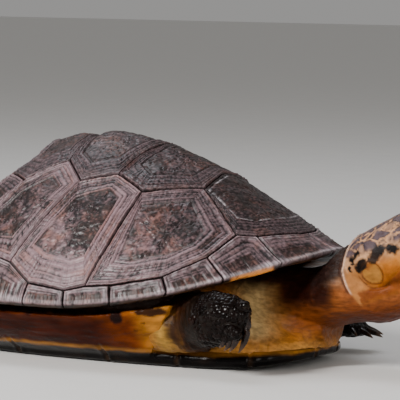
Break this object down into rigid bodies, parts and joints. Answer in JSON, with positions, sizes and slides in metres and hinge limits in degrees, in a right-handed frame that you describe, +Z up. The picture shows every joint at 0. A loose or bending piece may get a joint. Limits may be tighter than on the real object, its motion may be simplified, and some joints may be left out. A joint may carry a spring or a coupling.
{
  "type": "african side-necked mud turtle",
  "caption": "Life-size side-necked mud turtle lying on its belly shell, head raised, with a domed keeled upper shell, tucked clawed legs and a short tail; still museum model.",
  "frame": {"origin": "on the plane the turtle rests on, under the middle of the upper shell", "axes": "+X towards the head, +Y towards the turtle's left, +Z up"},
  "size_m": [0.2444, 0.1448, 0.0841],
  "materials": {
    "shell_horn": "dark brown horn with growth rings, semi-gloss",
    "belly_horn": "black horn with yellow-brown bridges, wet gloss",
    "skin": "soft cream to orange-brown skin, satin",
    "leg_skin": "black-brown scaly skin, wet gloss",
    "beak_horn": "tan horn beak, semi-gloss",
    "eye": "dark brown iris under a wet clear surface",
    "claw_horn": "black horn claws, glossy"
  },
  "bodies": {
    "root": {"carapace": "shell_horn", "plastron": "belly_horn", "trunk": "skin", "neck": "skin", "head": "skin", "lower_jaw": "beak_horn", "eye_left": "eye", "eye_right": "eye", "tail": "leg_skin", "foreleg_left": "leg_skin", "foreleg_right": "leg_skin", "hindleg_left": "leg_skin", "hindleg_right": "leg_skin", "claw_foreleg_left_1": "claw_horn", "claw_foreleg_left_2": "claw_horn", "claw_foreleg_left_3": "claw_horn", "claw_foreleg_left_4": "claw_horn", "claw_foreleg_left_5": "claw_horn", "claw_foreleg_right_1": "claw_horn", "claw_foreleg_right_2": "claw_horn", "claw_foreleg_right_3": "claw_horn", "claw_foreleg_right_4": "claw_horn", "claw_foreleg_right_5": "claw_horn", "claw_hindleg_left_1": "claw_horn", "claw_hindleg_left_2": "claw_horn", "claw_hindleg_left_3": "claw_horn", "claw_hindleg_left_4": "claw_horn", "claw_hindleg_left_5": "claw_horn", "claw_hindleg_right_1": "claw_horn", "claw_hindleg_right_2": "claw_horn", "claw_hindleg_right_3": "claw_horn", "claw_hindleg_right_4": "claw_horn", "claw_hindleg_right_5": "claw_horn"}
  },
  "joints": []
}
